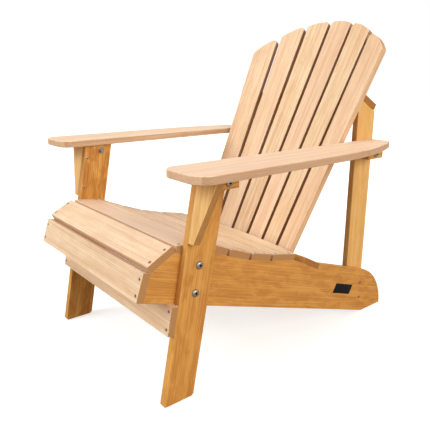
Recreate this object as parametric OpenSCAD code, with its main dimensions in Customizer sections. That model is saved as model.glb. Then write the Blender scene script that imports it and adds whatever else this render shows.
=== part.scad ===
// Slatted garden armchair with a fanned, hollow-curved back, screwed and bolted from flat boards.
// +X is the sitter's left, -Y is the front, +Z is up. The origin is on the floor under the
// middle of the chair. Lengths are in millimetres.

/* [Boards] */
// Thickness of every board.
board_t = 18; // [16:0.5:20]
// Width of the front legs, measured square to the leg.
leg_w = 82; // [70:1:84]
// Radius of the eased long edges of the seat boards.
edge_r = 3; // [1:0.5:5]

/* [Frame] */
// Outside width across the two side rails.
frame_w = 526; // [510:2:540]
// Height of the underside of the arms.
arm_z = 529.6; // [522:1:540]
// Slope of the side rails, in degrees.
rail_slope = 18.35; // [17.8:0.05:18.8]
// Where the side rail's foot starts behind the origin.
foot_y = 354.3; // [348:1:360]
// Height of the lowest point of the side rails at the front.
rail_front_z = 264.3; // [260:1:268]
// Length of the square cut across the front of the side rails.
rail_front_h = 66; // [62:1:68]
// Radius of the rounded heel of the side rails.
heel_r = 158; // [150:1:166]

/* [Legs] */
// Backward lean of the front legs, in degrees.
leg_lean = 11; // [9:0.5:12]
// Front edge of the front legs at the floor.
leg_front_y = -411.4; // [-414:0.2:-406]
// Bevel at the bottom corners of the front legs.
leg_bevel = 5; // [1:1:8]
// Front edge of the rear posts.
post_front_y = 287; // [284:1:290]
// Width of the rear posts.
post_w = 78; // [72:1:82]
// Height of the square lower end of the rear posts.
post_foot_z = 32; // [30:1:40]

/* [Seat] */
// Gap between neighbouring seat boards.
seat_gap = 8; // [7:0.5:10]
// Gap at the crest between the first two seat boards.
crest_gap = 11; // [10.5:0.5:13]
// How far the first seat board is set back along the side rails.
seat_setback = 0.6; // [0.4:0.2:3]
// Tilt of the first seat board, in degrees.
seat_1_tilt = 27.7; // [26:0.1:28.5]
// Width of the first seat board.
seat_1_w = 71.9; // [66:0.1:74]
// Tilt of the second seat board, in degrees.
seat_2_tilt = -7; // [-9:0.1:-5]
// Width of the second seat board.
seat_2_w = 80; // [76:1:84]
// Tilt of the third seat board, in degrees.
seat_3_tilt = -23.5; // [-25:0.1:-21]
// Tilt of the fourth seat board, in degrees.
seat_4_tilt = -21; // [-22:0.1:-19]
// Tilt of the fifth seat board, in degrees.
seat_5_tilt = -15.5; // [-17:0.1:-14]
// Tilt of the sixth seat board, in degrees.
seat_6_tilt = -12.5; // [-14:0.1:-11]
// Width of the third, fourth and fifth seat boards.
seat_w = 68; // [64:1:70]
// Width of the sixth seat board at its ends.
seat_6_end_w = 84; // [80:1:86]
// Radius of the bowed rear edge of the sixth seat board.
seat_6_rear_r = 860; // [820:10:1200]

/* [Back] */
// Backward lean of the back, in degrees.
back_lean = 28.3; // [27.8:0.1:28.8]
// Depth of the back's middle line behind the leaning reference plane.
back_depth = -33; // [-36:0.5:-30]
// Radius of the hollow front of the back.
back_r = 850; // [800:10:1000]
// Spacing of the back boards at the height of the seat.
back_pitch = 69.9; // [68:0.1:71]
// Growth of that spacing for each millimetre further up the back.
back_fan = 0.031; // [0.03:0.0005:0.035]
// Gap between neighbouring back boards.
back_gap = 10.4; // [9:0.2:15]
// Distance from the reference line to the lower ends of the back boards.
back_low = 223; // [219:1:226]
// Distance from the reference line to the top of the back's arch.
back_top = 996.6; // [990:0.2:1004]
// Radius of the top corners of the back boards.
back_corner_r = 12; // [8:1:16]
// Depth of the cross rails behind the reference plane at their rear edge.
cross_rear = 17; // [14:1:20]
// Depth of the front corners of the lower cross rail's ends.
cross_front = -61; // [-63:1:-57]
// Distance up the back to the underside of the lower cross rail.
cross_low = 234; // [231:1:236]
// Distance up the back to the underside of the upper cross rail.
cross_high = 725; // [718:1:730]
// Length of the upper cross rail.
cross_high_len = 494; // [490:1:500]

/* [Arms] */
// Half the width across the outer edges of the arms at the front.
arm_half_w = 392; // [384:1:398]
// Distance from the middle of the chair to the inner edge of an arm.
arm_inner_x = 250; // [248:1:258]
// Front-most point of the arms.
arm_front_y = -386; // [-400:0.5:-380]
// Rear end of the arms.
arm_rear_y = 355; // [355:1:365]
// Radius of the long sweep of an arm's outer edge.
arm_sweep_r = 700; // [680:10:800]
// Height of the arm blocks.
block_h = 32; // [28:1:36]
// Length of the rear arm blocks.
rear_block_len = 68; // [64:1:68]
// Width of the arm blocks.
block_w = 45; // [42:1:48]
// Length of an arm bracket down the leg.
bracket_h = 151; // [140:1:160]
// Width of an arm bracket at its top.
bracket_top_w = 69; // [64:1:72]
// Width of an arm bracket at its lower end.
bracket_low_w = 19; // [14:1:24]

/* [Cross boards] */
// Width of the apron across the front of the seat.
apron_w = 66.6; // [64:0.2:67]
// Height of the front stretcher's lower edge along the legs.
stretcher_low = 176; // [170:1:185]
// Width of the front stretcher.
stretcher_w = 70; // [64:1:74]

/* [Fasteners] */
// Diameter of the bolts.
bolt_d = 8; // [6:1:8]
// Diameter of the round bolt heads.
bolt_head_d = 19; // [17:1:20]
// Height of the round bolt heads.
bolt_head_h = 5; // [4:0.5:6]
// Diameter of the hexagon sockets, across the corners.
socket_d = 7; // [5:0.5:8]
// Nut width across the corners.
nut_d = 15; // [14:0.5:16]
// Diameter of the screw heads.
screw_head_d = 8; // [6:0.5:9]
// Diameter of the screw shanks.
screw_d = 4; // [3:0.5:4.5]

/* [Label] */
// Length of the blank plate on the side rail.
label_l = 84; // [70:1:90]
// Height of the blank plate.
label_h = 30; // [24:1:34]
// Thickness of the blank plate.
label_t = 1; // [0.6:0.1:1.5]

/* [Hidden] */
t = board_t;
half_w = frame_w / 2;               // outer face of a side rail
rail_in = half_w - t;               // inner face of a side rail, outer face of a rear post
leg_out = half_w + t;               // outer face of a front leg
big = 2000;                         // larger than the chair, for cutting tools
eps = 0.02;                         // overlap of cutting tools past a face
round_play = 0.02;                  // makes a rounding arc cross its edges instead of touching
fine = 96;                          // segments of a true circle
corner_past = 2;                    // how far corner waste reaches outside its corner
play = 0.15;                        // clearance around fasteners, per side
hole_past = 10;                     // how far bolt holes are cut past the wood
hole_deeper = 2;                    // how much deeper than its screw a screw hole is
washer_t = 1.6;
washer_d = 18;
nut_t = 6.5;
nut_room = washer_t + nut_t + 2;    // thread past the wood: washer, nut and two turns
bolt_dome_r = bolt_head_d * 0.8;
socket_depth = 3;
screw_head_h = 2.6;
screw_sink = 0.4;                   // how far the screw heads sit below the wood
long_screw = 38;                    // through a board into the end of another
mid_screw = 32;                     // through a board into an edge or a second board
short_screw = 28;                   // through a side rail into a rear post
arm_screw = block_h + 10;           // up through an arm block into the arm
back_screw_bite = 10;               // how deep the back screws go into the back boards
screw_in = 14;                      // from a board's front or lower edge to its screws
screw_out = 16;                     // from a board's rear or upper edge to its screws
bracket_screw_drops = [36, 122];    // down the leg from the arm
post_screw_heights = [51.8, 102.3];
post_screw_back = 49;               // behind the rear post's front edge
low_cross_screws = [-44, -4];       // depths of the screws in the lower cross rail's ends
high_cross_screws = [-18, 4];       // and in the upper cross rail's ends
leg_bolt_heights = [260, 324];
arm_bolt_drop = 17.6;               // from the arm down to its bolts
bracket_square = 8;                 // square part at the top of a bracket's sloped edge
heel_run = 210;                     // level run from the lower cross rail to the heel's top
block_gap = 0.6;                    // clearance of an arm block to the parts before it
bend_clear = 2;                     // clearance of a rear post to the back boards
arm_front_slant = 3;                // how far the inner front corner of an arm lies back
arm_front_outer_r = 44;
arm_front_inner_r = 36;
arm_rear_outer_r = 14;
arm_rear_inner_r = 4;
arm_turn_y = 60;                    // where the straight outer edge meets the sweep
arm_taper = 10;                     // how much narrower the arm is there
arm_jog_y1 = 186;                   // where the inner edge starts to step in to the post
arm_jog_y2 = 250;                   // where it has reached the post
label_y = 249;
label_z = 104.5;
label_slant = 7;

// ---- shared shapes ----------------------------------------------------------------------------

function unit(v) = v / norm(v);

// A sheet lying in the Y-Z plane between x1 and x2.
module side_sheet(x1, x2) {
    translate([x1, 0, 0]) rotate([90, 0, 90]) linear_extrude(height = x2 - x1) children();
}

// Mirrors a left-hand piece to the right.
module other_side() {
    mirror([1, 0, 0]) children();
}

// The waste outside a rounded corner: its arc runs from a to b about centre.
module arc_waste(a, b, outside, centre, r) {
    difference() {
        polygon([a, outside, b, centre]);
        translate(centre) circle(r = r + round_play, $fn = fine);
    }
}

// The waste at the corner p between its neighbours q1 and q2 for a corner radius r.
module corner_waste(p, q1, q2, r) {
    u1 = unit(q1 - p);
    u2 = unit(q2 - p);
    half = acos(u1 * u2) / 2;
    mid = unit(u1 + u2);
    run = r / tan(half);
    arc_waste(p + u1 * run, p + u2 * run, p - mid * corner_past, p + mid * r / sin(half), r);
}

// Cross-section of a board with eased edges: from the origin along +X, downwards by t.
module board_section(w, r) {
    difference() {
        translate([0, -t]) square([w, t]);
        corner_waste([0, 0], [w, 0], [0, -t], r);
        corner_waste([w, 0], [0, 0], [w, -t], r);
    }
}

// ---- seat line --------------------------------------------------------------------------------

seat_tilts = [seat_1_tilt, seat_2_tilt, seat_3_tilt, seat_4_tilt, seat_5_tilt, seat_6_tilt];
seat_widths = [seat_1_w, seat_2_w, seat_w, seat_w, seat_w, seat_6_end_w];
seat_gaps = [crest_gap, seat_gap, seat_gap, seat_gap, seat_gap];

function along(a) = [cos(a), sin(a)];
function normal(a) = [-sin(a), cos(a)];

rail_low_front = [foot_y - rail_front_z / tan(rail_slope), rail_front_z];
rail_top_front = rail_low_front + rail_front_h * [sin(rail_slope), cos(rail_slope)];

// Front top corner of seat board i, as [y, z].
function seat_start(i) =
    i == 0 ? rail_top_front + seat_setback * along(seat_tilts[0]) + t * normal(seat_tilts[0])
           : seat_start(i - 1) + seat_widths[i - 1] * along(seat_tilts[i - 1])
             + seat_gaps[i - 1] * along(seat_tilts[i]);

function seat_under(i, d) = seat_start(i) - t * normal(seat_tilts[i]) + d * along(seat_tilts[i]);

// Places children on the top face of seat board i, at its front edge: X across, Y rearwards.
module on_seat(i) {
    translate([0, seat_start(i)[0], seat_start(i)[1]]) rotate([seat_tilts[i], 0, 0]) children();
}

// ---- back line --------------------------------------------------------------------------------

// A point d behind the leaning reference plane and s up the back, as [y, z].
function lean_point(d, s) = [d * cos(back_lean) + s * sin(back_lean),
                             s * cos(back_lean) - d * sin(back_lean)];

// Children drawn with Y as depth and Z as distance up the back.
module leaning() {
    rotate([-back_lean, 0, 0]) children();
}

fan_from = 262;                     // distance up the back where back_pitch is measured

// The arc across the top of each back board, from the outer boards inwards: how far its centre
// lies inwards of the board's centre line, how far it lies below back_top, and its radius.
top_arcs = [[86.4, 213.8, 157], [67.4, 192.8, 179], [21, 186, 186]];
top_spare = 10;                     // how far the waste over an arc reaches past the board

function fan_x(i, s) = (i - 3.5) * (back_pitch + back_fan * (s - fan_from));
function fan_d(x) = back_depth - back_r + sqrt(back_r * back_r - x * x);
function fan_point(i, s) = [fan_x(i, s), fan_d(fan_x(i, s)), s];

fan_low = cross_low + t / 2;
fan_high = cross_high + t / 2;
function fan_turn(i) = -asin(fan_x(i, (fan_low + fan_high) / 2) / back_r);
function fan_run(i) = fan_point(i, fan_high) - fan_point(i, fan_low);
function fan_axis(i) = unit(fan_run(i));
// That axis seen from the board's own turn about the back's long direction.
function turned(i) = [fan_axis(i)[0] * cos(fan_turn(i)) + fan_axis(i)[1] * sin(fan_turn(i)),
                      fan_axis(i)[1] * cos(fan_turn(i)) - fan_axis(i)[0] * sin(fan_turn(i)),
                      fan_axis(i)[2]];

// Places children on the front face of back board i: X across, Y through it, Z along it.
module on_back_board(i) {
    leaning()
        translate(fan_point(i, fan_low)) rotate([0, 0, fan_turn(i)])
            rotate([atan2(-turned(i)[1], turned(i)[2]), 0, 0])
                rotate([0, asin(turned(i)[0]), 0]) children();
}

function board_half(i, z) = (back_pitch + back_fan * (fan_low + z - fan_from) - back_gap) / 2;
function top_arc(i) = top_arcs[min(i, 7 - i) - 1];
function arc_centre(i) = [(i > 3 ? -1 : 1) * top_arc(i)[0], back_top - top_arc(i)[1] - fan_low];
function arc_z(i, x) = arc_centre(i)[1] + sqrt(pow(top_arc(i)[2], 2) - pow(x - arc_centre(i)[0], 2));
function arc_crown(i) = arc_centre(i)[1] + top_arc(i)[2];

// Height where the arc meets the side edge, closed in on by a few steps from z.
function shoulder_z(i, side, z, steps) =
    steps == 0 ? z : shoulder_z(i, side, arc_z(i, side * board_half(i, z)), steps - 1);

// Where the arc meets the edge on one side, -1 or 1, and the arc's direction inwards from there.
function shoulder(i, side) =
    let (z = shoulder_z(i, side, arc_centre(i)[1], 5))
    [side * board_half(i, z), z];
function shoulder_run(i, side) =
    let (out = shoulder(i, side) - arc_centre(i))
    -side * [out[1], -out[0]];

// Outline of back board i before its top is cut: low left, low right, top right, top left.
function back_outline(i) =
    let (low = back_low - fan_low, high = arc_crown(i) + 1)
    [[-board_half(i, low), low], [board_half(i, low), low],
     [board_half(i, high), high], [-board_half(i, high), high]];

// The waste over the arc of back board i, and at the corner on one side of it.
module top_waste(i) {
    past = board_half(i, arc_crown(i)) + top_spare;
    difference() {
        translate([-past, arc_centre(i)[1]]) square([2 * past, top_arc(i)[2] + top_spare]);
        translate(arc_centre(i)) circle(r = top_arc(i)[2], $fn = fine);
    }
}

module shoulder_waste(i, side) {
    p = shoulder(i, side);
    corner_waste(p, back_outline(i)[side > 0 ? 1 : 0], p + shoulder_run(i, side), back_corner_r);
}

module back_blank(i, extra) {
    on_back_board(i)
        translate([0, t, 0]) rotate([90, 0, 0]) linear_extrude(height = t + extra)
            polygon(back_outline(i));
}

// ---- fasteners --------------------------------------------------------------------------------

// A countersunk wood screw pointing down -Z from a face at z = 0. grow widens it into its hole.
module screw(l, grow) {
    translate([0, 0, -screw_sink]) {
        translate([0, 0, -screw_head_h])
            cylinder(d1 = screw_d + 2 * grow, d2 = screw_head_d + 2 * grow,
                     h = screw_head_h, $fn = fine);
        translate([0, 0, -l - grow]) cylinder(d = screw_d + 2 * grow, h = l + grow, $fn = fine);
    }
    if (grow > 0)
        translate([0, 0, -screw_sink])
            cylinder(d = screw_head_d + 2 * grow, h = screw_sink + 1, $fn = fine);
}

// A round-headed bolt with a hexagon socket: head above z = 0, shank down -Z.
module bolt(l) {
    translate([0, 0, -l]) cylinder(d = bolt_d, h = l + eps, $fn = fine);
    difference() {
        intersection() {
            cylinder(d = bolt_head_d, h = bolt_head_h, $fn = fine);
            translate([0, 0, bolt_head_h - bolt_dome_r]) sphere(r = bolt_dome_r, $fn = fine);
        }
        translate([0, 0, bolt_head_h - socket_depth])
            linear_extrude(height = socket_depth + 1) circle(d = socket_d, $fn = 6);
    }
}

// The hole for a wood screw of length l.
module screw_hole(l) {
    screw(l + hole_deeper, play);
}

// A hole right through everything that a bolt of grip l holds.
module bolt_hole(l) {
    translate([0, 0, -l - hole_past]) cylinder(d = bolt_d + 2 * play, h = l + 2 * hole_past, $fn = fine);
}

// A washer and a nut under a face at z = 0, threaded on a bolt that runs through them.
module washer_and_nut() {
    difference() {
        union() {
            translate([0, 0, -washer_t]) cylinder(d = washer_d, h = washer_t, $fn = fine);
            translate([0, 0, -washer_t - nut_t]) linear_extrude(height = nut_t + eps)
                circle(d = nut_d, $fn = 6);
        }
        bolt_hole(nut_t);
    }
}

// The places of the left-hand leg bolts, pointing inwards from the leg's outer face.
function leg_centre_y(z) = leg_front_y + leg_w / cos(leg_lean) / 2 + z * tan(leg_lean);
module at_leg_bolts() {
    for (z = leg_bolt_heights)
        translate([leg_out, leg_centre_y(z), z]) rotate([0, 90, 0]) children();
}

// The places of the left-hand arm bolts, pointing inwards from the arm blocks' outer faces.
module at_arm_bolts() {
    for (p = [[leg_out + block_w, (front_block_y1() + front_block_y2()) / 2, arm_z - arm_bolt_drop],
              [rail_in + block_w, post_front_y + rear_block_len / 2, arm_z - arm_bolt_drop]])
        translate(p) rotate([0, 90, 0]) children();
}

// Screws through the ends of seat board i into the side rails.
module at_seat_screws(i) {
    for (side = [-1, 1], d = [screw_in, seat_widths[i] - screw_out])
        on_seat(i) translate([side * (half_w - t / 2), d, 0]) children();
}

// Screws through the apron into the front ends of the side rails.
module at_apron_screws() {
    for (side = [-1, 1], d = [screw_in, apron_w - screw_out])
        translate([side * (half_w - t / 2), rail_low_front[0], rail_low_front[1]])
            rotate([-rail_slope, 0, 0]) translate([0, -t, d]) rotate([90, 0, 0]) children();
}

// Children drawn on the legs' front edge, Z running up the leg from the floor.
module on_leg_front() {
    translate([0, leg_front_y, 0]) rotate([-leg_lean, 0, 0]) children();
}

module at_stretcher_screws() {
    for (side = [-1, 1], d = [screw_in, stretcher_w - screw_in])
        on_leg_front() translate([side * (leg_out - t / 2), -t, stretcher_low + d])
            rotate([90, 0, 0]) children();
}

// Screws through a leg from inside into its bracket.
module at_bracket_screws() {
    for (d = bracket_screw_drops)
        on_leg_front() translate([half_w, t / 2, arm_z / cos(leg_lean) - d])
            rotate([0, -90, 0]) children();
}

// Screws through a side rail into its rear post.
module at_post_screws() {
    for (z = post_screw_heights)
        translate([half_w, post_front_y + post_screw_back, z]) rotate([0, 90, 0]) children();
}

// Screws down through an arm would show, so each arm is held from below through its blocks.
module at_block_screws() {
    for (y = [front_block_y1() + screw_in, front_block_y2() - screw_in])
        translate([leg_out + block_w / 2, y, arm_z - block_h]) rotate([180, 0, 0]) children();
    for (y = [post_front_y + screw_in, post_front_y + rear_block_len - screw_out])
        translate([rail_in + block_w / 2, y, arm_z - block_h]) rotate([180, 0, 0]) children();
}

// Screws through the cross rails' ends into the side rails and the rear posts.
module at_cross_screws() {
    for (d = low_cross_screws)
        leaning() translate([half_w - t / 2, d, cross_low + t]) children();
    for (d = high_cross_screws)
        leaning() translate([rail_in - t / 2, d, cross_high + t]) children();
}

// Screws from behind through both cross rails into back board i. grow and deeper make their holes.
module back_screw_set(i, grow, deeper) {
    for (s = [fan_low, fan_high])
        leaning() translate([fan_x(i, s), cross_rear, s]) rotate([-90, 0, 0])
            screw(cross_rear - fan_d(fan_x(i, s)) - t + back_screw_bite + deeper, grow);
}

// ---- frame ------------------------------------------------------------------------------------

cross_under_front = lean_point(cross_front, cross_low);
cross_under_rear = lean_point(cross_rear, cross_low);
cross_top_rear = lean_point(cross_rear, cross_low + t);
heel_top_y = cross_top_rear[0] + heel_run;
heel_top_z = cross_top_rear[1] - heel_run * tan(rail_slope);
heel_centre = [heel_top_y, heel_top_z] - heel_r * [sin(rail_slope), cos(rail_slope)];
rail_far_y = foot_y + 200;          // past the heel, which is cut back to its arc
rail_far_z = cross_top_rear[1] - (rail_far_y - cross_top_rear[0]) * tan(rail_slope);

function seat_profile() = [for (i = [0 : 5], d = [0, seat_widths[i]]) seat_under(i, d)];

module side_rail_left() {
    color("BurlyWood") difference() {
        side_sheet(rail_in, half_w)
            intersection() {
                polygon(concat([rail_low_front, rail_top_front], seat_profile(),
                               [cross_under_front, cross_under_rear, cross_top_rear,
                                [rail_far_y, rail_far_z], [rail_far_y, 0], [foot_y, 0]]));
                union() {
                    translate(heel_centre) circle(r = heel_r + round_play, $fn = fine);
                    translate([-big, -eps]) square([big + heel_top_y, big]);
                }
            }
        at_leg_bolts() bolt_hole(2 * t);
        for (i = [0 : 5])
            at_seat_screws(i) screw_hole(mid_screw);
        at_apron_screws() screw_hole(long_screw);
        at_post_screws() screw_hole(short_screw);
        at_cross_screws() screw_hole(mid_screw);
    }
}

module front_leg_left() {
    foot = leg_w / cos(leg_lean);
    rise = tan(leg_lean);
    color("BurlyWood") difference() {
        side_sheet(half_w, leg_out)
            polygon([[leg_front_y + leg_bevel, 0],
                     [leg_front_y + foot - leg_bevel, 0],
                     [leg_front_y + foot + leg_bevel * rise, leg_bevel],
                     [leg_front_y + foot + arm_z * rise, arm_z],
                     [leg_front_y + arm_z * rise, arm_z],
                     [leg_front_y + leg_bevel * rise, leg_bevel]]);
        at_leg_bolts() bolt_hole(2 * t);
        at_arm_bolts() bolt_hole(block_w + t);
        at_bracket_screws() screw_hole(mid_screw);
        at_stretcher_screws() screw_hole(long_screw);
    }
}

module rear_post_left() {
    rear = post_front_y + post_w;
    slot_d = fan_d(rail_in) + t - bend_clear;
    under_low = lean_point(0, cross_high);
    function under_z(y) = under_low[1] - (y - under_low[0]) * tan(back_lean);
    bend = lean_point(slot_d + bend_clear * 2, cross_high);
    lower = (post_front_y - bend[0]) / tan(back_lean);
    color("BurlyWood") difference() {
        side_sheet(rail_in - t, rail_in)
            polygon([[post_front_y, post_foot_z], [rear, post_foot_z], [rear, under_z(rear)],
                     [bend[0], under_z(bend[0])], [post_front_y, bend[1] + lower]]);
        at_post_screws() screw_hole(short_screw);
        at_arm_bolts() bolt_hole(block_w + t);
        at_cross_screws() screw_hole(mid_screw);
    }
}

module front_apron() {
    color("Wheat") difference() {
        translate([-half_w, rail_low_front[0], rail_low_front[1]]) rotate([-rail_slope, 0, 0])
            translate([0, -t, 0]) cube([frame_w, t, apron_w]);
        at_apron_screws() screw_hole(long_screw);
    }
}

module front_stretcher() {
    color("Wheat") difference() {
        on_leg_front() translate([-leg_out, -t, stretcher_low])
            cube([2 * leg_out, t, stretcher_w]);
        at_stretcher_screws() screw_hole(long_screw);
    }
}

// ---- seat -------------------------------------------------------------------------------------

module seat_board(i) {
    color("Wheat") difference() {
        on_seat(i) rotate([90, 0, 90]) translate([0, 0, -half_w])
            linear_extrude(height = frame_w) board_section(seat_widths[i], edge_r);
        at_seat_screws(i) screw_hole(mid_screw);
    }
}

// The last seat board bows backwards to follow the hollow of the back.
module seat_board_bowed(i) {
    sag = seat_6_rear_r - sqrt(seat_6_rear_r * seat_6_rear_r - half_w * half_w);
    w = seat_widths[i];
    color("Wheat") difference() {
        on_seat(i) intersection() {
            rotate([90, 0, 90]) translate([0, 0, -half_w]) linear_extrude(height = frame_w)
                difference() {
                    translate([0, -t]) square([w + sag + 1, t]);
                    corner_waste([0, 0], [w, 0], [0, -t], edge_r);
                }
            translate([0, w + sag - seat_6_rear_r, -2 * t])
                cylinder(r = seat_6_rear_r, h = 4 * t, $fn = fine);
        }
        at_seat_screws(i) screw_hole(mid_screw);
    }
}

// ---- back -------------------------------------------------------------------------------------

// A cross rail with its front edge hollowed to a circle and a flat seat for each back board.
module cross_rail(len, s) {
    color("BurlyWood") difference() {
        leaning() difference() {
            translate([-len / 2, cross_front, s]) cube([len, cross_rear - cross_front, t]);
            translate([0, back_depth - back_r, s - t])
                cylinder(r = back_r + t, h = 3 * t, $fn = fine);
        }
        for (i = [1 : 6]) {
            back_blank(i, t);
            back_screw_set(i, play, hole_deeper);
        }
        for (m = [0, 1])
            mirror([m, 0, 0]) at_cross_screws() screw_hole(mid_screw);
    }
}

module back_board(i) {
    color("PeachPuff") difference() {
        on_back_board(i)
            translate([0, t, 0]) rotate([90, 0, 0]) linear_extrude(height = t)
                difference() {
                    polygon(back_outline(i));
                    top_waste(i);
                    for (side = [-1, 1]) shoulder_waste(i, side);
                }
        back_screw_set(i, play, hole_deeper);
    }
}

// ---- arms -------------------------------------------------------------------------------------

function leg_face_y(z) = leg_front_y + z * tan(leg_lean);
function front_block_y1() = leg_face_y(arm_z) + t / cos(leg_lean) + block_gap;
function front_block_y2() = leg_face_y(arm_z - block_h) + leg_w / cos(leg_lean);

module arm_outline() {
    slope = atan2(arm_taper, arm_turn_y - arm_front_y);
    turn = [arm_half_w - arm_taper, arm_turn_y];
    sweep = turn - arm_sweep_r * [cos(slope), sin(slope)];
    round_y = arm_rear_y - arm_rear_outer_r;
    round_x = sweep[0] + sqrt(pow(arm_sweep_r - arm_rear_outer_r, 2) - pow(round_y - sweep[1], 2));
    outwards = unit([round_x, round_y] - sweep);
    inner = [arm_inner_x, arm_front_y + arm_front_slant];
    outer = [arm_half_w, arm_front_y];
    difference() {
        intersection() {
            polygon([inner, outer, turn, [turn[0], arm_rear_y], [rail_in, arm_rear_y],
                     [rail_in, arm_jog_y2], [arm_inner_x, arm_jog_y1]]);
            union() {
                translate([-big / 2, arm_turn_y - big]) square([big, big]);
                translate(sweep) circle(r = arm_sweep_r + round_play, $fn = fine);
            }
        }
        corner_waste(inner, outer, [arm_inner_x, 0], arm_front_inner_r);
        corner_waste(outer, inner, turn, arm_front_outer_r);
        arc_waste([round_x, arm_rear_y], [round_x, round_y] + outwards * arm_rear_outer_r,
                  [round_x + arm_rear_outer_r, arm_rear_y + corner_past], [round_x, round_y],
                  arm_rear_outer_r);
        corner_waste([rail_in, arm_rear_y], [rail_in, 0], [arm_inner_x, arm_rear_y],
                     arm_rear_inner_r);
    }
}

module arm_left() {
    color("Wheat") difference() {
        translate([0, 0, arm_z]) linear_extrude(height = t) arm_outline();
        at_block_screws() screw_hole(arm_screw);
    }
}

module arm_bracket_left() {
    top = arm_z / cos(leg_lean);
    color("Wheat") difference() {
        intersection() {
            on_leg_front() translate([leg_out, t, 0]) rotate([90, 0, 0])
                linear_extrude(height = t)
                    polygon([[0, top - bracket_h], [bracket_low_w, top - bracket_h],
                             [bracket_top_w, top - bracket_square], [bracket_top_w, top + t],
                             [0, top + t]]);
            translate([0, -big / 2, 0]) cube([big, big, arm_z]);
        }
        at_bracket_screws() screw_hole(mid_screw);
    }
}

module front_arm_block_left() {
    color("BurlyWood") difference() {
        translate([leg_out, front_block_y1(), arm_z - block_h])
            cube([block_w, front_block_y2() - front_block_y1(), block_h]);
        at_arm_bolts() bolt_hole(block_w + t);
        at_block_screws() screw_hole(arm_screw);
    }
}

module rear_arm_block_left() {
    color("BurlyWood") difference() {
        translate([rail_in, post_front_y, arm_z - block_h])
            cube([block_w, rear_block_len, block_h]);
        at_arm_bolts() bolt_hole(block_w + t);
        at_block_screws() screw_hole(arm_screw);
    }
}

// ---- fastener groups --------------------------------------------------------------------------

module both_sides() {
    children();
    other_side() children();
}

module leg_bolts() {
    color("Silver") both_sides() at_leg_bolts() bolt(2 * t + nut_room);
}

module leg_nuts() {
    color("Silver") both_sides() at_leg_bolts() translate([0, 0, -2 * t]) washer_and_nut();
}

module arm_bolts() {
    color("Silver") both_sides() at_arm_bolts() bolt(block_w + t + nut_room);
}

module arm_nuts() {
    color("Silver") both_sides() at_arm_bolts() translate([0, 0, -block_w - t])
        washer_and_nut();
}

module seat_screws() {
    color("DimGray") for (i = [0 : 5]) at_seat_screws(i) screw(mid_screw, 0);
}

module frame_screws() {
    color("DimGray") {
        at_apron_screws() screw(long_screw, 0);
        at_stretcher_screws() screw(long_screw, 0);
        both_sides() {
            at_bracket_screws() screw(mid_screw, 0);
            at_post_screws() screw(short_screw, 0);
            at_cross_screws() screw(mid_screw, 0);
            at_block_screws() screw(arm_screw, 0);
        }
    }
}

module back_screws() {
    color("DimGray") for (i = [1 : 6]) back_screw_set(i, 0, 0);
}

module blank_plate() {
    color("DimGray") side_sheet(half_w, half_w + label_t)
        translate([label_y, label_z]) rotate(-rail_slope)
            polygon([[-label_l / 2 - label_slant / 2, -label_h / 2],
                     [label_l / 2 - label_slant / 2, -label_h / 2],
                     [label_l / 2 + label_slant / 2, label_h / 2],
                     [-label_l / 2 + label_slant / 2, label_h / 2]]);
}

// ---- nodes ------------------------------------------------------------------------------------

side_rail_left();
other_side() side_rail_left();  // side_rail_right
front_leg_left();
other_side() front_leg_left();  // front_leg_right
rear_post_left();
other_side() rear_post_left();  // rear_post_right
front_apron();
front_stretcher();
seat_board(0);  // seat_board_1
seat_board(1);  // seat_board_2
seat_board(2);  // seat_board_3
seat_board(3);  // seat_board_4
seat_board(4);  // seat_board_5
seat_board_bowed(5);  // seat_board_6
cross_rail(frame_w, cross_low);  // lower_cross_rail
cross_rail(cross_high_len, cross_high);  // upper_cross_rail
back_board(1);  // back_board_1
back_board(2);  // back_board_2
back_board(3);  // back_board_3
back_board(4);  // back_board_4
back_board(5);  // back_board_5
back_board(6);  // back_board_6
arm_left();
other_side() arm_left();  // arm_right
arm_bracket_left();
other_side() arm_bracket_left();  // arm_bracket_right
front_arm_block_left();
other_side() front_arm_block_left();  // front_arm_block_right
rear_arm_block_left();
other_side() rear_arm_block_left();  // rear_arm_block_right
leg_bolts();
leg_nuts();
arm_bolts();
arm_nuts();
seat_screws();
frame_screws();
back_screws();
blank_plate();
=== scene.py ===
"""Slatted garden armchair: every board rebuilt over the CAD frame with eased edges and solid wood."""

import math
import random

import bmesh
import bpy
from mathutils import Matrix, Vector


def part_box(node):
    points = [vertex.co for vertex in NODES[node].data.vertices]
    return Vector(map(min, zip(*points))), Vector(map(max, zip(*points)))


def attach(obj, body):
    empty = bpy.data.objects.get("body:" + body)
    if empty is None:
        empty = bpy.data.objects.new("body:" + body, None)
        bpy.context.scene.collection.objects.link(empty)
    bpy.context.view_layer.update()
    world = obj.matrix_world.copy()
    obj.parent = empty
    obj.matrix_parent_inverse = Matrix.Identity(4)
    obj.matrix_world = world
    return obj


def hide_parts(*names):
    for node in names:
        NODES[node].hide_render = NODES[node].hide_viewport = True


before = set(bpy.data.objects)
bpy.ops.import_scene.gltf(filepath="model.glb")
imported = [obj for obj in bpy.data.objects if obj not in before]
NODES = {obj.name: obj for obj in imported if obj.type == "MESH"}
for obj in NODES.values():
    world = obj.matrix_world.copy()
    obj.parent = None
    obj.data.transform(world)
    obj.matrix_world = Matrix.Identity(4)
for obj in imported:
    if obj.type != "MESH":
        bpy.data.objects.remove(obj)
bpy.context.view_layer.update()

MM = 0.001
SEED = 41

# ---- directions of the chair, in degrees ---------------------------------------------------------
RAIL_SLOPE = 18.35
LEG_LEAN = 11.0
BACK_LEAN = 28.3
SEAT_TILTS = (27.7, -7.0, -23.5, -21.0, -15.5, -12.5)   # front board first

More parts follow.
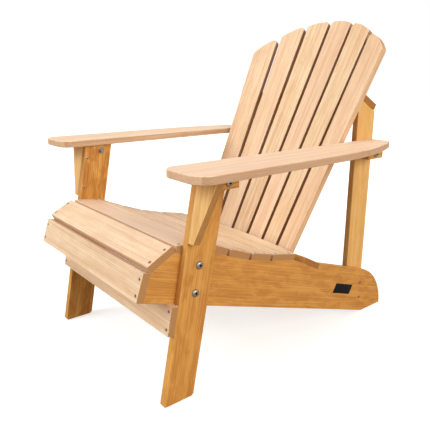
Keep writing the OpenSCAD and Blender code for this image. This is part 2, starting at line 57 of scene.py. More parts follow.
# ---- the fanned back -----------------------------------------------------------------------------
BACK_FAN = (-2.5, -1.5, -0.5, 0.5, 1.5, 2.5)   # each board's place, in boards from the middle
FAN_SPREAD = 0.031        # sideways lean from one board to the next, per unit of height
BACK_RADIUS = 0.850       # hollow of the back, in metres
BOARD_STEP = 0.075        # rough spacing round that hollow, in metres; it only aims the grain
GAP_SIDES = ((1,), (-1, 1), (-1, 1), (-1, 1), (-1, 1), (-1,))   # which long sides face a gap

# ---- surface sizes -------------------------------------------------------------------------------
ARRIS = 2.2 * MM          # eased edge of most boards
ARRIS_BACK = 1.6 * MM     # back boards
ARRIS_SMALL = 1.2 * MM    # thin or closely fitted pieces
ARRIS_FINE = 0.5 * MM     # where the apron nearly touches the first seat board
ARRIS_PLATE = 0.3 * MM
ARRIS_STEPS = 3
WELD = 0.002 * MM         # points closer than this are joined
FLAT_ANGLE = math.radians(0.3)      # triangles that meet flatter than this are merged
SHARP_ANGLE = math.radians(22)      # edges sharper than this are eased
CREASE_ANGLE = math.radians(38)     # edges of boards still sharper than this stay crisp
STEEL_CREASE = math.radians(35)     # the same for fasteners
HOLE_SPAN = 26 * MM       # loops of sharp edges smaller than this are fastener holes
NORMAL_WEIGHT = 80        # how strongly large faces set the shading of the eased edges

# ---- camera: the photograph's viewpoint ----------------------------------------------------------
CAMERA_AT = Vector((1.1101, -0.9294, 0.7341))
CAMERA_AZIMUTH = 51.18
CAMERA_ELEVATION = 15.86
SENSOR = 36.0
LENS = 41.87
CLIP = (0.05, 60)

# ---- light ---------------------------------------------------------------------------------------
ROOM_LIGHT = 0.30
ROOM_COLOUR = (1.0, 0.93, 0.84, 1.0)
FLOOR_GLOW = 0.64
FLOOR_BOUNCE = (0.46, 0.38, 0.28, 1.0)
FLOOR_HALF = 14.0
FLOOR_Z = -0.4 * MM       # just under the feet
SUN_DISTANCE = 4          # where the lights' handles stand; a sun's place changes nothing


def unit(v):
    return Vector(v).normalized()


def in_yz(degrees):
    """Unit vector in the Y-Z plane, rising rearwards by that many degrees."""
    a = math.radians(degrees)
    return Vector((0.0, math.cos(a), math.sin(a)))


# ---- node trees ----------------------------------------------------------------------------------

class Tree:
    """Small helper that adds shader nodes and links them."""

    def __init__(self, name):
        self.mat = bpy.data.materials.new(name)
        self.mat.use_nodes = True
        self.nt = self.mat.node_tree
        self.nt.nodes.clear()
        self.out = self.add("ShaderNodeOutputMaterial")

    def add(self, kind, **props):
        node = self.nt.nodes.new(kind)
        for key, value in props.items():
            setattr(node, key, value)
        return node

    def put(self, socket, value):
        if hasattr(value, "is_output"):
            self.nt.links.new(value, socket)
        else:
            socket.default_value = value

    def math(self, op, a, b=0.0, clamp=False):
        node = self.add("ShaderNodeMath", operation=op, use_clamp=clamp)
        self.put(node.inputs[0], a)
        self.put(node.inputs[1], b)
        return node.outputs[0]

    def vmath(self, op, a, b=(0, 0, 0)):
        node = self.add("ShaderNodeVectorMath", operation=op)
        self.put(node.inputs[0], a)
        self.put(node.inputs[1], b)
        return node.outputs[0]

    def noise(self, vector, scale, detail=2.0, rough=0.5, distortion=0.0):
        node = self.add("ShaderNodeTexNoise", noise_dimensions="3D")
        self.put(node.inputs["Vector"], vector)
        node.inputs["Scale"].default_value = scale
        node.inputs["Detail"].default_value = detail
        node.inputs["Roughness"].default_value = rough
        node.inputs["Distortion"].default_value = distortion
        return node.outputs["Fac"]

    def stretch(self, vector, scale):
        return self.vmath("MULTIPLY", vector, scale)

    def ramp(self, fac, stops, smooth=False):
        node = self.add("ShaderNodeValToRGB")
        node.color_ramp.interpolation = "EASE" if smooth else "LINEAR"
        elements = node.color_ramp.elements
        while len(elements) < len(stops):
            elements.new(0.5)
        for element, (pos, value) in zip(elements, stops):
            element.position = pos
            if isinstance(value, (int, float)):
                value = (value, value, value)
            element.color = (*value, 1.0)
        self.put(node.inputs["Fac"], fac)
        return node.outputs["Color"]

    def mix(self, fac, a, b, blend="MIX"):
        node = self.add("ShaderNodeMix", data_type="RGBA", blend_type=blend)
        self.put(node.inputs[0], fac)
        self.put(node.inputs[6], a if hasattr(a, "is_output") else (*a, 1.0))
        self.put(node.inputs[7], b if hasattr(b, "is_output") else (*b, 1.0))
        return node.outputs[2]

    def attribute(self, name, output="Fac"):
        return self.add("ShaderNodeAttribute", attribute_name=name).outputs[output]

    def finish(self, colour, roughness, height=None, bump=0.3, distance=0.0005, **fixed):
        bsdf = self.add("ShaderNodeBsdfPrincipled")
        self.put(bsdf.inputs["Base Color"],
                 colour if hasattr(colour, "is_output") else (*colour, 1.0))
        self.put(bsdf.inputs["Roughness"], roughness)
        for key, value in fixed.items():
            bsdf.inputs[key.replace("_", " ")].default_value = value
        if height is not None:
            node = self.add("ShaderNodeBump")
            node.inputs["Strength"].default_value = bump
            node.inputs["Distance"].default_value = distance
            self.put(node.inputs["Height"], height)
            self.nt.links.new(node.outputs["Normal"], bsdf.inputs["Normal"])
        self.nt.links.new(bsdf.outputs[0], self.out.inputs["Surface"])
        return self.mat


def srgb(text):
    """Linear colour from a hexadecimal sRGB one."""
    def linear(c):
        return c / 12.92 if c <= 0.04045 else ((c + 0.055) / 1.055) ** 2.4
    return tuple(linear(int(text[i:i + 2], 16) / 255) for i in (0, 2, 4))


# ---- materials -----------------------------------------------------------------------------------

RING_SPACING = 4.2 * MM
RING_WOBBLE = 3.0 * MM       # how unevenly the rings are spaced
PITH_WANDER = 16 * MM        # how far the pith line strays along a board
PITH_SIDE = (0.03, 0.10)     # how far the pith lies from a board's middle, across it, in metres
PITH_DEPTH = (0.03, 0.09)    # and through its thickness
ALONG_TREE = 30              # each board is cut from its own place, up to this far along the grain
END_FACING = (0.35, 0.45)    # end grain begins at the first and is full after the second more
ARM_END_PAINTED_LIGHT = 0.35          # painted light: the arms' ends are painted nearly as pale as their tops, as if lit from the front

SIDE_PAINTED_SHADE = srgb("7E420E")  # painted shade on the narrow sides where neighbouring parts shade them, darkest inside the gaps
SIDE_FACING = 0.7            # how squarely a face must look sideways to count
BACK_PAINTED_SHADE = 0.68            # how much of that painted shade each kind of board has
SEAT_PAINTED_SHADE = 0.25
ARM_PAINTED_SHADE = 0.30
POST_PAINTED_SHADE = 0.35
BRACKET_PAINTED_SHADE = 0.60

# painted shade in the recesses of screw and bolt heads
RECESS_PAINTED_SHADE = (0.05, 0.045, 0.05)
BRIGHT_ZINC = (0.40, 0.375, 0.40)
DULL_ZINC = (0.44, 0.42, 0.40)
BLACK_PLASTIC = (0.004, 0.005, 0.008)


def wood(name, pale, body, late, end, rosy, figure):
    """Solid softwood: fine growth rings round a pith line, fibres, end grain, rubbed edges and painted
    shade on the narrow sides.
    """
    t = Tree(name)
    grain = t.attribute("grain", "Vector")
    split = t.add("ShaderNodeSeparateXYZ")
    t.put(split.inputs[0], grain)

    # the pith line wanders slowly along the board, so the rings bend and run out at the faces
    wander = t.stretch(grain, (2.4, 6.0, 6.0))
    drift_y = t.math("SUBTRACT", t.noise(wander, 1.0, 2.0, 0.45), 0.5)
    drift_z = t.math("SUBTRACT", t.noise(t.vmath("ADD", wander, (7.3, 2.1, 9.4)), 1.0, 2.0, 0.45), 0.5)
    y = t.math("ADD", split.outputs[1], t.math("MULTIPLY", drift_y, PITH_WANDER))
    z = t.math("ADD", split.outputs[2], t.math("MULTIPLY", drift_z, PITH_WANDER))
    radius = t.math("SQRT", t.math("ADD", t.math("MULTIPLY", y, y), t.math("MULTIPLY", z, z)))
    uneven = t.math("MULTIPLY", t.math("SUBTRACT", t.noise(t.stretch(grain, (0.8, 90, 90)), 1.0), 0.5),
                    RING_WOBBLE)
    ring = t.math("FRACT", t.math("DIVIDE", t.math("ADD", radius, uneven), RING_SPACING))
    late_wood = t.ramp(ring, ((0.0, 0.25), (0.22, 0.0), (0.55, 0.15), (0.85, 0.9), (0.95, 1.0),
                              (1.0, 0.25)), smooth=True)

    # fibres, longer streaks, broad bands, blotches and slow changes of tone
    fibre = t.noise(t.stretch(grain, (12, 1100, 1100)), 1.0, 3.0, 0.6)
    streak = t.noise(t.stretch(grain, (3.2, 300, 300)), 1.0, 4.0, 0.6)
    band = t.noise(t.stretch(grain, (1.6, 80, 80)), 1.0, 3.0, 0.55)
    blotch = t.noise(t.stretch(grain, (16, 45, 45)), 1.0, 3.0, 0.6, 0.6)
    cloud = t.noise(t.stretch(grain, (4.0, 16, 16)), 1.0, 3.0, 0.5)
    tone = t.noise(t.stretch(grain, (0.11, 0.0, 0.0)), 1.0, 0.0)
    blush = t.noise(t.stretch(grain, (0.17, 0.0, 0.0)), 1.0, 0.0)

    colour = t.mix(t.ramp(cloud, ((0.36, 0.0), (0.62, 1.0))), pale, body)
    colour = t.mix(t.ramp(band, ((0.44, 0.0), (0.62, 0.70))), colour, late)
    colour = t.mix(t.ramp(blotch, ((0.48, 0.0), (0.62, figure))), colour, late)
    colour = t.mix(t.ramp(blotch, ((0.36, figure), (0.46, 0.0))), colour, pale)
    strength = t.ramp(streak, ((0.3, 0.20), (0.7, 0.95)))
    colour = t.mix(t.math("MULTIPLY", late_wood, strength), colour, late)
    colour = t.mix(t.ramp(streak, ((0.30, 0.75), (0.5, 0.0))), colour, pale)
    colour = t.mix(t.ramp(fibre, ((0.35, 0.35), (0.6, 0.0))), colour, late)
    colour = t.mix(t.ramp(tone, ((0.3, 0.30), (0.7, 0.0))), colour, body)
    colour = t.mix(t.ramp(blush, ((0.35, 0.0), (0.65, 0.55))), colour, rosy)

    # end grain is darker and rougher, and the eased edges are rubbed a little paler
    at_end = t.attribute("end_grain")
    speck = t.noise(t.stretch(grain, (40, 1500, 1500)), 1.0, 2.0)
    end_colour = t.mix(t.ramp(speck, ((0.35, 0.0), (0.7, 0.5))), end, late)
    end_colour = t.mix(t.math("MULTIPLY", late_wood, 0.55), end_colour, late)
    colour = t.mix(at_end, colour, end_colour)
    rub = t.math("MULTIPLY", t.attribute("worn_edge"),
                 t.ramp(t.noise(t.stretch(grain, (30, 120, 120)), 1.0, 3.0), ((0.35, 0.0), (0.7, 0.5))))
    colour = t.mix(rub, colour, pale)
    # painted shade: the marked narrow sides are darkened towards deep brown, as if shaded by their
    # neighbours
    colour = t.mix(t.attribute("painted_shade"), colour, SIDE_PAINTED_SHADE)

    rough = t.math("ADD", t.math("MULTIPLY", streak, 0.16), 0.46)
    rough = t.math("ADD", rough, t.math("MULTIPLY", at_end, 0.18), clamp=True)
    height = t.math("ADD", t.math("MULTIPLY", late_wood, 0.4), t.math("MULTIPLY", fibre, 0.8))
    height = t.math("ADD", height, t.math("MULTIPLY", streak, 0.5))
    return t.finish(colour, rough, height, bump=0.3, distance=0.0004)


def zinc(name, tint):
    """Zinc-plated steel with faint cloudy spangle and turning marks, with painted shade in its
    recesses.
    """
    t = Tree(name)
    where = t.add("ShaderNodeTexCoord").outputs["Object"]
    cloud = t.noise(where, 420, 3.0, 0.6)
    scratch = t.noise(t.stretch(where, (300, 4000, 4000)), 1.0, 2.0)
    dull = tuple(c * 0.72 for c in tint)
    colour = t.mix(t.ramp(cloud, ((0.3, 0.0), (0.75, 1.0))), tint, dull)
    # painted shade: the recess walls and floors are darkened
    colour = t.mix(t.attribute("recess"), colour, RECESS_PAINTED_SHADE)
    rough = t.math("ADD", t.math("MULTIPLY", cloud, 0.22), 0.20)
    rough = t.math("ADD", rough, t.math("MULTIPLY", t.attribute("recess"), 0.4))
    return t.finish(colour, rough, scratch, bump=0.15, distance=0.0001, Metallic=1.0)


def plastic(name, tint):
    """Matt moulded plastic with a fine leathery grain."""
    t = Tree(name)
    where = t.add("ShaderNodeTexCoord").outputs["Object"]
    cloud = t.noise(where, 60, 3.0, 0.6)
    pebble = t.noise(where, 2600, 2.0, 0.5)
    lighter = tuple(c * 1.8 for c in tint)
    colour = t.mix(t.ramp(cloud, ((0.3, 0.0), (0.75, 1.0))), tint, lighter)
    rough = t.math("ADD", t.math("MULTIPLY", cloud, 0.15), 0.42)
    return t.finish(colour, rough, pebble, bump=0.25, distance=0.0001, Specular_IOR_Level=0.12)


def floor_material():
    """Matt studio floor: white to the camera, duller and warmer in the light it throws back."""
    t = Tree("pale_floor")
    where = t.add("ShaderNodeTexCoord").outputs["Object"]
    cloud = t.noise(where, 1.2, 2.0)
    colour = t.mix(t.ramp(cloud, ((0.3, 0.0), (0.7, 1.0))), (0.60, 0.60, 0.60), (0.63, 0.63, 0.63))
    t.finish(colour, 0.9, Emission_Color=(1.0, 1.0, 1.0, 1.0), Emission_Strength=FLOOR_GLOW)
    seen = t.out.inputs["Surface"].links[0].from_socket
    bounce = t.add("ShaderNodeBsdfDiffuse")
    bounce.inputs["Color"].default_value = FLOOR_BOUNCE
    mix = t.add("ShaderNodeMixShader")
    t.put(mix.inputs[0], t.add("ShaderNodeLightPath").outputs["Is Camera Ray"])
    t.put(mix.inputs[1], bounce.outputs[0])
    t.put(mix.inputs[2], seen)
    t.put(t.out.inputs["Surface"], mix.outputs[0])
    return t.mat


# ---- boards --------------------------------------------------------------------------------------

def welded(node):
    """A bmesh of a CAD node with its points joined and its flat triangles merged."""
    bm = bmesh.new()
    bm.from_mesh(NODES[node].data)
    bmesh.ops.remove_doubles(bm, verts=bm.verts, dist=WELD)
    bmesh.ops.dissolve_limit(bm, angle_limit=FLAT_ANGLE, verts=bm.verts, edges=bm.edges)
    return bm


def sharp_loops(bm):
    """Groups of connected sharp edges, in the order of the mesh."""
    sharp = {e for e in bm.edges
             if len(e.link_faces) == 2 and e.calc_face_angle(0.0) > SHARP_ANGLE}
    groups = []
    for start in bm.edges:
        if start not in sharp:
            continue
        sharp.remove(start)
        group, queue = [start], [start]
        while queue:
            edge = queue.pop()
            for vert in edge.verts:
                for other in vert.link_edges:
                    if other in sharp:
                        sharp.remove(other)
                        group.append(other)
                        queue.append(other)
        groups.append(group)
    return groups


def span(edges):
    """Diagonal of the box round some edges."""
    points = [v.co for e in edges for v in e.verts]
    low = Vector(map(min, *points))
    high = Vector(map(max, *points))
    return (high - low).length


def ease_edges(bm, width, steps=ARRIS_STEPS):
    """Rounds every long sharp edge, leaves fastener holes crisp, and marks the rounded faces."""
    worn = bm.faces.layers.int.new("worn")
    long_edges = [e for g in sharp_loops(bm) if span(g) > HOLE_SPAN for e in g]
    made = bmesh.ops.bevel(bm, geom=long_edges, offset=width, offset_type="OFFSET",
                           segments=steps, profile=0.5, affect="EDGES", clamp_overlap=False,
                           material=-1)
    for face in made["faces"]:
        face[worn] = 1
    shade_smooth(bm, CREASE_ANGLE)


def shade_smooth(bm, crease):
    """Shades every face smooth, except across edges sharper than crease."""
    for edge in bm.edges:
        if len(edge.link_faces) == 2 and edge.calc_face_angle(0.0) > crease:
            edge.smooth = False
    for face in bm.faces:
        face.smooth = True


def add_piece(name, mesh, material):
    """A new object in the scene, made of one mesh in one material."""
    mesh.materials.append(material)
    piece = bpy.data.objects.new(name, mesh)
    bpy.context.scene.collection.objects.link(piece)
    return piece


def mark(mesh, name, values):
    """Gives each face of a mesh a number that its material reads."""
    mesh.attributes.new(name, "FLOAT", "FACE").data.foreach_set("value", values)


def board_frame(grain, through):
    """Rows that point along the grain, across the board and out through its thickness."""
    along = unit(grain)
    out = unit(Vector(through) - along * along.dot(Vector(through)))
    across = out.cross(along)
    return Matrix((along, across, out))


def wooden(node, grain, through, material, width=ARRIS, sides=(), painted_shade=0.0, end_tone=1.0):
    """Rebuilds a wooden CAD node with eased edges and its own place in the tree.

    sides lists the signs of the long sides that get painted shade, and the next argument says how
    much of it. end_tone says how strongly the end grain shows.
    """
    rng = random.Random(f"{SEED}{node}")
    bm = welded(node)
    ease_edges(bm, width)
    mesh = bpy.data.meshes.new(node + "_timber")
    bm.to_mesh(mesh)
    worn_layer = bm.faces.layers.int["worn"]
    worn = [float(f[worn_layer]) for f in bm.faces]
    bm.free()

    low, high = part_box(node)
    centre = (low + high) / 2
    axes = board_frame(grain, through)
    side = rng.uniform(*PITH_SIDE) * rng.choice((-1, 1))
    depth = rng.uniform(*PITH_DEPTH) * rng.choice((-1, 1))
    shift = Vector((rng.uniform(-ALONG_TREE, ALONG_TREE), side, depth))
    points = mesh.attributes.new("grain", "FLOAT_VECTOR", "POINT")
    flat = []
    for vert in mesh.vertices:
        flat.extend(axes @ (vert.co - centre) + shift)
    points.data.foreach_set("vector", flat)
    start, rise = END_FACING
    endways = [abs(p.normal.dot(axes[0])) for p in mesh.polygons]
    mark(mesh, "end_grain", [end_tone * max(0.0, min(1.0, (e - start) / rise)) for e in endways])
    mark(mesh, "worn_edge", worn)
    sideways = [max((p.normal.dot(axes[1]) * sign for sign in sides), default=0.0)
                for p in mesh.polygons]
    # painted shade on the long sides that face a gap or sit under a neighbouring part
    mark(mesh, "painted_shade", [painted_shade if s > SIDE_FACING else 0.0 for s in sideways])
    mesh.attributes.remove(mesh.attributes["worn"])

    piece = add_piece(node + "_timber", mesh, material)
    normals = piece.modifiers.new("even_normals", "WEIGHTED_NORMAL")
    normals.keep_sharp = True
    normals.weight = NORMAL_WEIGHT
    hand_over(piece, node)


def hand_over(piece, node):
    """The piece stands for its CAD node, which is hidden, and rides on the chair."""
    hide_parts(node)
    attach(piece, "root")


def build_wood():
    """Every wooden board, with its grain, its outer face, its wood and its edges."""
    # one pine in two copies: the seat, arm, apron and stretcher copy is paler and whiter as painted
    # sheen, the back boards' copy more orange
    board = wood("board_pine", srgb("F1DCBE"), srgb("E6C8A2"), srgb("C4956A"), srgb("A67644"),
                 srgb("E4BEA6"), 0.30)
    peach = wood("back_pine", srgb("F0D6B2"), srgb("E4C096"), srgb("C08F60"), srgb("A67644"),
                 srgb("E2B99C"), 0.30)
    golden = wood("frame_pine", srgb("ECB864"), srgb("D69A42"), srgb("A05C16"), srgb("A8733A"),
                  srgb("D0914A"), 0.75)
    straw = wood("post_pine", srgb("FAD492"), srgb("F2C276"), srgb("C68C48"), srgb("AE7840"),
                 srgb("E4B46C"), 0.45)
    across = Vector((1, 0, 0))
    rail = in_yz(-RAIL_SLOPE)
    leg = in_yz(90 - LEG_LEAN)
    leg_face = in_yz(-LEG_LEAN)
    back_up = in_yz(90 - BACK_LEAN)
    back_face = in_yz(-BACK_LEAN)
    up = Vector((0, 0, 1))
    rear = Vector((0, 1, 0))

    for side in ("left", "right"):
        wooden("side_rail_" + side, rail, across, golden, ARRIS_SMALL)
        wooden("front_leg_" + side, leg, across, golden)
        # painted shade on the posts' front edges, which the seat, back and arms shade
        wooden("rear_post_" + side, up, across, straw, ARRIS, (1,), POST_PAINTED_SHADE)
        # painted shade on the arms' inner and outer edges, and painted light on their pale ends
        wooden("arm_" + side, rear, up, board, ARRIS, (-1, 1), ARM_PAINTED_SHADE, ARM_END_PAINTED_LIGHT)
        # painted shade on the brackets' sides, the slanted outer one lying in shade
        wooden("arm_bracket_" + side, leg, leg_face, straw, ARRIS_SMALL, (-1, 1), BRACKET_PAINTED_SHADE)
        wooden("front_arm_block_" + side, rear, up, golden, ARRIS_SMALL)
        wooden("rear_arm_block_" + side, rear, up, golden, ARRIS_SMALL)
    # painted shade on the long edges of the apron and seat boards, where they meet and shade each other
    wooden("front_apron", across, rail, board, ARRIS_FINE, (-1, 1), SEAT_PAINTED_SHADE)
    wooden("front_stretcher", across, leg_face, board, ARRIS_SMALL)
    for i, tilt in enumerate(SEAT_TILTS):
        width = ARRIS_SMALL if i else ARRIS_FINE
        wooden(f"seat_board_{i + 1}", across, in_yz(90 + tilt), board, width, (-1, 1), SEAT_PAINTED_SHADE)
    for name in ("lower_cross_rail", "upper_cross_rail"):
        wooden(name, across, back_up, golden, ARRIS_SMALL)
    for i, place in enumerate(BACK_FAN):
        grain = back_up + across * place * FAN_SPREAD
        face = back_face + across * (place * BOARD_STEP / BACK_RADIUS)
        # painted shade on the back boards' sides inside the gaps between them
        wooden(f"back_board_{i + 1}", grain, face, peach, ARRIS_BACK, GAP_SIDES[i], BACK_PAINTED_SHADE)


# ---- fasteners -----------------------------------------------------------------------------------

CANDIDATE_AXES = (        # every direction in which a fastener is driven
    [Vector((1, 0, 0))]
    + [in_yz(90 + tilt) for tilt in SEAT_TILTS]
    + [in_yz(-RAIL_SLOPE), in_yz(-LEG_LEAN), in_yz(-BACK_LEAN), in_yz(90 - BACK_LEAN),
       Vector((0, 0, 1))]
)

SCREW_SHANK_R = 2 * MM
SCREW_CORE = 0.8          # radius between the threads, as a share of the shank's
SCREW_PITCH = 1.6 * MM
SCREW_PLAIN = 4.2 * MM    # length without thread below the top of the head
CROSS_DEPTH = 1.3 * MM
CROSS_REACH = 0.62        # size of the cross recess, as shares of the head's radius
CROSS_HALF = 0.13

BOLT_HEAD_H = 5 * MM
BOLT_SHANK_R = 4 * MM
BOLT_SOCKET_R = 3.4 * MM
BOLT_PITCH = 1.25 * MM
BOLT_PLAIN = 18 * MM      # length of smooth shank below the head
SOCKET_DEPTH = 3.0 * MM
DOME_STEPS = 6
DOME_TURN = math.pi / 2 * 0.86      # how far the head's rounding goes towards its middle

WASHER = 1.6 * MM
WASHER_EDGE = 0.3 * MM
NUT_R = 7.5 * MM
NUT_BORE_R = 4.15 * MM
NUT_CHAMFER = 0.7 * MM
NUT_FACE = 0.93           # size of the nut's flat faces after its chamfer

TURNED_SIDES = 28         # sides of a turned screw
ROUND_SIDES = 36          # sides of a turned bolt or washer


def islands(node):
    """Points of each separate solid in a CAD node, in the order of the mesh, so runs repeat."""
    bm = bmesh.new()
    bm.from_mesh(NODES[node].data)
    bmesh.ops.remove_doubles(bm, verts=bm.verts, dist=WELD)
    left = set(bm.verts)
    found = []
    for start in bm.verts:
        if start not in left:
            continue
        left.remove(start)
        queue = [start]
        points = []
        while queue:
            vert = queue.pop()
            points.append(vert.co.copy())
            for edge in vert.link_edges:
                other = edge.other_vert(vert)
                if other in left:
                    left.remove(other)
                    queue.append(other)
        found.append(points)
    bm.free()
    return found


def axis_of(points):
    """(tip of the wide end, unit vector out of it, length, widest radius) of a turned solid."""
    best = None
    for candidate in CANDIDATE_AXES:
        along = [candidate.dot(p) for p in points]
        mid = (max(along) + min(along)) / 2
        rest = [p - candidate * candidate.dot(p) for p in points]
        middle = sum(rest, Vector()) / len(rest)
        spread = max((r - middle).length for r in rest)
        if best is None or spread < best[0]:
            best = (spread, candidate, min(along), max(along), middle, mid)
    spread, direction, low, high, middle, mid = best
    upper = [p for p in points if direction.dot(p) > mid]
    lower = [p for p in points if direction.dot(p) <= mid]

    def width(group):
        return max(((p - direction * direction.dot(p)) - middle).length for p in group)

    if width(upper) < width(lower):
        direction, low, high = -direction, -high, -low
    return middle + direction * high, direction, high - low, spread


def ring(bm, radius, z, count):
    """Points of a regular polygon round the Z axis."""
    return [bm.verts.new((radius * math.cos(2 * math.pi * k / count),
                          radius * math.sin(2 * math.pi * k / count), z))
            for k in range(count)]


def skin(bm, a, b):
    """Band of faces between two rings of points."""
    n = len(a)
    return [bm.faces.new((a[k], a[(k + 1) % n], b[(k + 1) % n], b[k])) for k in range(n)]


def turned_blank():
    """Empty mesh whose faces can be marked as the inside of a driving recess."""
    bm = bmesh.new()
    bm.faces.layers.float.new("recess")
    return bm


def mark_recess(bm, faces):
    """Marks the walls and floor of a driving recess for the steel material."""
    layer = bm.faces.layers.float["recess"]
    for face in faces:
        face[layer] = 1.0


def lathe(bm, profile, count):
    """Turned solid, closed at the bottom only, from (radius, z) pairs, bottom to top."""
    rings = [ring(bm, r, z, count) for r, z in profile]
    for low, high in zip(rings, rings[1:]):
        skin(bm, low, high)
    bm.faces.new(list(reversed(rings[0])))
    return rings


def close_top(bm, rim, recess, floor):
    """Fills the head between its rim and a recess, and closes the recess down to its floor."""
    edges = [bm.edges.new((recess[k], recess[(k + 1) % len(recess)])) for k in range(len(recess))]
    border = [bm.edges.get((rim[k], rim[(k + 1) % len(rim)])) for k in range(len(rim))]
    bmesh.ops.triangle_fill(bm, use_beauty=True, edges=edges + border, normal=(0, 0, 1))
    mark_recess(bm, skin(bm, floor, recess) + [bm.faces.new(floor)])


def screw_shape(length, head_r):
    """Countersunk screw with a cross recess and a faint thread, its head's top at z = 0."""
    bm = turned_blank()
    shank_r, core_r = SCREW_SHANK_R, SCREW_SHANK_R * SCREW_CORE
    profile = [(0.4 * MM, -length), (core_r, -length + 2.5 * MM)]
    z = -length + 3 * MM
    while z < -SCREW_PLAIN:
        profile += [(core_r, z), (shank_r, z + 0.35 * MM), (core_r, z + 0.7 * MM)]
        z += SCREW_PITCH
    profile += [(shank_r, -3.6 * MM), (shank_r, -2.7 * MM), (head_r, -0.45 * MM),
                (head_r, -0.12 * MM), (head_r * 0.95, 0.0)]
    rim = lathe(bm, profile, TURNED_SIDES)[-1]
    arm, half = head_r * CROSS_REACH, head_r * CROSS_HALF
    plus = [(arm, -half), (arm, half), (half, half), (half, arm), (-half, arm), (-half, half),
            (-arm, half), (-arm, -half), (-half, -half), (-half, -arm), (half, -arm), (half, -half)]
    top = [bm.verts.new((x, y, 0.0)) for x, y in plus]
    floor = [bm.verts.new((x * 0.55, y * 0.8, -CROSS_DEPTH)) for x, y in plus]
    close_top(bm, rim, top, floor)
    return bm


def bolt_shape(length, head_r):
    """Button-head bolt with a hexagon socket, the top of its head at z = 0."""
    bm = turned_blank()
    shank_r, base = BOLT_SHANK_R, -BOLT_HEAD_H
    profile = [(shank_r * 0.8, -length), (shank_r, -length + 1 * MM)]
    z = -length + 1.4 * MM
    while z < base - BOLT_PLAIN - 2 * MM:
        profile += [(shank_r * 0.88, z), (shank_r, z + 0.6 * MM)]
        z += BOLT_PITCH
    brim = base + 0.5 * MM
    profile += [(shank_r, base - BOLT_PLAIN), (shank_r, base), (head_r * 0.98, base), (head_r, brim)]
    for k in range(1, DOME_STEPS + 1):
        a = k / DOME_STEPS * DOME_TURN
        profile.append((head_r * (0.52 + 0.48 * math.cos(a)),
                        brim - brim * math.sin(a) / math.sin(DOME_TURN)))
    rim = lathe(bm, profile, ROUND_SIDES)[-1]
    socket = ring(bm, BOLT_SOCKET_R, 0.0, 6)
    floor = ring(bm, BOLT_SOCKET_R * 0.97, -SOCKET_DEPTH, 6)
    close_top(bm, rim, socket, floor)
    return bm


def nut_shape(length, washer_r):
    """Washer against the wood at z = 0 with a chamfered nut beyond it, pointing to -Z."""
    bm = bmesh.new()
    rows = [(NUT_BORE_R, 0.0), (washer_r, 0.0), (washer_r, -WASHER + WASHER_EDGE),
            (washer_r - WASHER_EDGE, -WASHER), (NUT_BORE_R, -WASHER)]
    rings = [ring(bm, r, z, ROUND_SIDES) for r, z in rows]
    for a, b in zip(rings, rings[1:] + rings[:1]):
        skin(bm, b, a)
    top, low = -WASHER - 0.01 * MM, -length
    outer = [ring(bm, NUT_R * size, z, 6) for z, size in
             ((top, NUT_FACE), (top - NUT_CHAMFER, 1.0), (low + NUT_CHAMFER, 1.0), (low, NUT_FACE))]
    bore = [ring(bm, NUT_BORE_R, z, 6) for z in (top, low)]
    loop = [bore[0]] + outer + [bore[1]]
    for a, b in zip(loop, loop[1:] + loop[:1]):
        skin(bm, b, a)
    return bm


def fasteners(node, make, material):
    """Replaces a group of CAD fasteners with detailed ones in the same places."""
    rng = random.Random(f"{SEED}{node}")
    joined = bmesh.new()
    for points in islands(node):
        tip, out, length, radius = axis_of(points)
        bm = make(length, radius)
        turn = Matrix.Rotation(rng.uniform(0, 2 * math.pi), 4, "Z")
        place = Matrix.Translation(tip) @ out.to_track_quat("Z", "Y").to_matrix().to_4x4() @ turn
        bmesh.ops.transform(bm, matrix=place, verts=bm.verts)
        bmesh.ops.recalc_face_normals(bm, faces=bm.faces)
        part = bpy.data.meshes.new("part")
        bm.to_mesh(part)
        bm.free()
        joined.from_mesh(part)
        bpy.data.meshes.remove(part)
    shade_smooth(joined, STEEL_CREASE)
    mesh = bpy.data.meshes.new(node + "_steel")
    joined.to_mesh(mesh)
    joined.free()
    hand_over(add_piece(node + "_steel", mesh, material), node)


def build_fasteners():
    """All bolts, nuts and screws, in two tones of zinc."""
    bright = zinc("bright_zinc", BRIGHT_ZINC)
    dull = zinc("dull_zinc", DULL_ZINC)
    for node in ("leg_bolts", "arm_bolts"):
        fasteners(node, bolt_shape, bright)
    for node in ("leg_nuts", "arm_nuts"):
        fasteners(node, nut_shape, bright)
    for node in ("seat_screws", "frame_screws", "back_screws"):
        fasteners(node, screw_shape, dull)


def build_plate():
    """The small blank plate on the left side rail."""
    bm = welded("blank_plate")
    ease_edges(bm, ARRIS_PLATE, 2)
    mesh = bpy.data.meshes.new("blank_plate_cover")
    bm.to_mesh(mesh)
    bm.free()
    mesh.attributes.remove(mesh.attributes["worn"])
    piece = add_piece("blank_plate_cover", mesh, plastic("black_plastic", BLACK_PLASTIC))
    hand_over(piece, "blank_plate")


# ---- stage ---------------------------------------------------------------------------------------

def build_floor():
    """One wide square just under the feet."""
    bm = bmesh.new()
    half = FLOOR_HALF
    corners = [bm.verts.new((x, y, FLOOR_Z)) for x, y in
               ((-half, -half), (half, -half), (half, half), (-half, half))]
    bm.faces.new(corners)
    mesh = bpy.data.meshes.new("floor")
    bm.to_mesh(mesh)
    bm.free()
    add_piece("floor", mesh, floor_material())


def sun_light(name, towards, strength, spread, colour):
    """A distant light shining from the direction towards, spread over that many degrees."""
    data = bpy.data.lights.new(name, "SUN")
    data.energy = strength
    data.angle = math.radians(spread)
    data.color = colour
    light = bpy.data.objects.new(name, data)
    light.location = unit(towards) * SUN_DISTANCE
    light.rotation_mode = "QUATERNION"
    light.rotation_quaternion = unit(towards).to_track_quat("Z", "Y")
    bpy.context.scene.collection.objects.link(light)


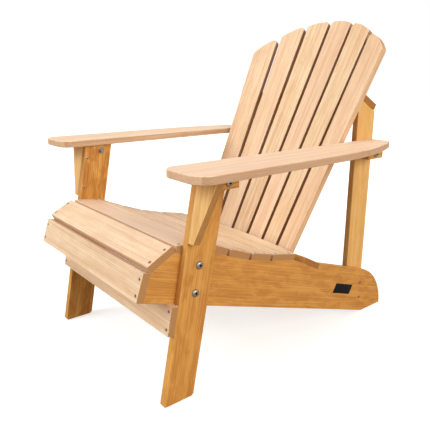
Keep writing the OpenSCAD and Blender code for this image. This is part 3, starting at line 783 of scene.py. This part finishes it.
def build_world():
    """White backdrop for the camera and for reflections, and a dimmer, warmer room light."""
    world = bpy.data.worlds.new("studio")
    bpy.context.scene.world = world
    world.use_nodes = True
    nt = world.node_tree
    nt.nodes.clear()
    room = nt.nodes.new("ShaderNodeBackground")
    room.inputs["Color"].default_value = ROOM_COLOUR
    room.inputs["Strength"].default_value = ROOM_LIGHT
    white = nt.nodes.new("ShaderNodeBackground")
    white.inputs["Color"].default_value = (1.0, 1.0, 1.0, 1.0)
    path = nt.nodes.new("ShaderNodeLightPath")
    mix = nt.nodes.new("ShaderNodeMixShader")
    out = nt.nodes.new("ShaderNodeOutputWorld")
    either = nt.nodes.new("ShaderNodeMath")
    either.operation = "MAXIMUM"
    nt.links.new(path.outputs["Is Camera Ray"], either.inputs[0])
    nt.links.new(path.outputs["Is Glossy Ray"], either.inputs[1])
    nt.links.new(either.outputs[0], mix.inputs[0])
    nt.links.new(room.outputs[0], mix.inputs[1])
    nt.links.new(white.outputs[0], mix.inputs[2])
    nt.links.new(mix.outputs[0], out.inputs["Surface"])


def build_light():
    """The room and three soft suns: cool from the front and above, warm from the side."""
    build_world()
    sun_light("front", (-0.30, -0.83, 0.47), 2.1, 35, (0.95, 0.99, 1.0))
    sun_light("above", (-0.05, -0.12, 0.99), 1.3, 50, (0.92, 0.98, 1.0))
    sun_light("side", (0.90, 0.15, 0.40), 1.9, 40, (1.0, 0.93, 0.80))
    bpy.context.scene.view_settings.view_transform = "Standard"


def build_camera():
    """The photograph's viewpoint, looking down the given azimuth and elevation."""
    data = bpy.data.cameras.new("camera")
    data.sensor_width = SENSOR
    data.lens = LENS
    data.clip_start, data.clip_end = CLIP
    camera = bpy.data.objects.new("camera", data)
    a, e = math.radians(CAMERA_AZIMUTH), math.radians(CAMERA_ELEVATION)
    back = Vector((math.sin(a) * math.cos(e), -math.cos(a) * math.cos(e), math.sin(e)))
    camera.location = CAMERA_AT
    camera.rotation_mode = "QUATERNION"
    camera.rotation_quaternion = (-back).to_track_quat("-Z", "Y")
    bpy.context.scene.collection.objects.link(camera)
    bpy.context.scene.camera = camera


build_camera()
build_light()
build_floor()
build_wood()
build_fasteners()
build_plate()
